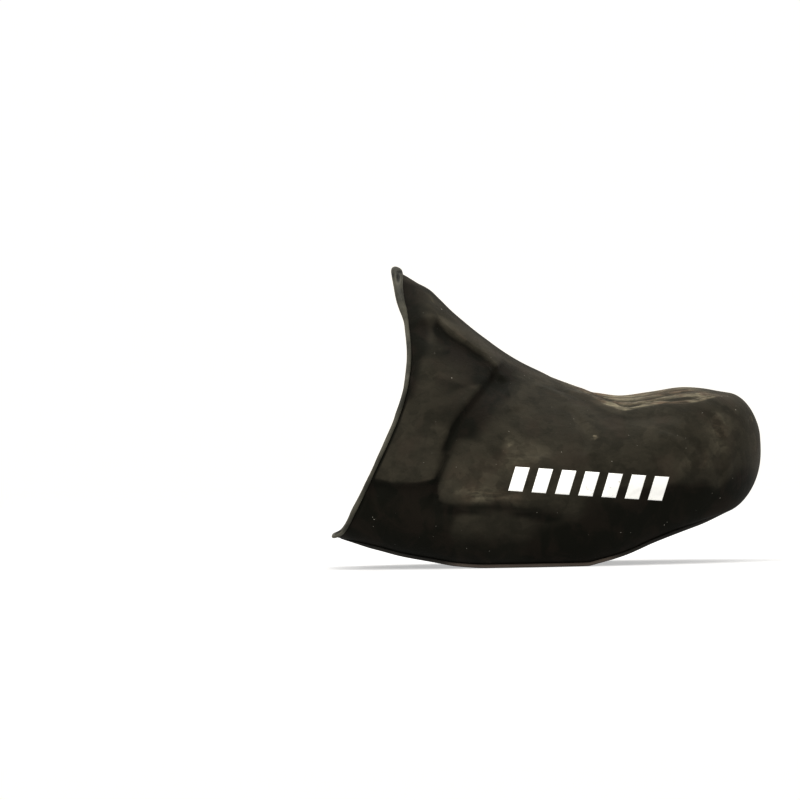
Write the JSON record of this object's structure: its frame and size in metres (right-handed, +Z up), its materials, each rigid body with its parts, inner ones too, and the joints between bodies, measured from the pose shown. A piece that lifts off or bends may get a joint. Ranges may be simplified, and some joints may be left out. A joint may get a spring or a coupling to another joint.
{
  "type": "cycling toe cover",
  "caption": "Dipped black rubber toe cover for a road cycling shoe, right foot, with a rolled collar bead and a sole panel with a cleat opening",
  "frame": {"origin": "middle of the cover's box on the floor that it stands on", "axes": "+X forward to the toe, +Y to the inner side of the right foot, +Z up"},
  "size_m": [0.1698, 0.1041, 0.1169],
  "materials": {
    "upper_rubber": "satin, dusty",
    "sole_rubber": "matte, scuffed",
    "bead_rubber": "satin"
  },
  "bodies": {
    "root": {"upper": "upper_rubber", "sole": "sole_rubber", "collar_bead": "bead_rubber"}
  },
  "joints": []
}
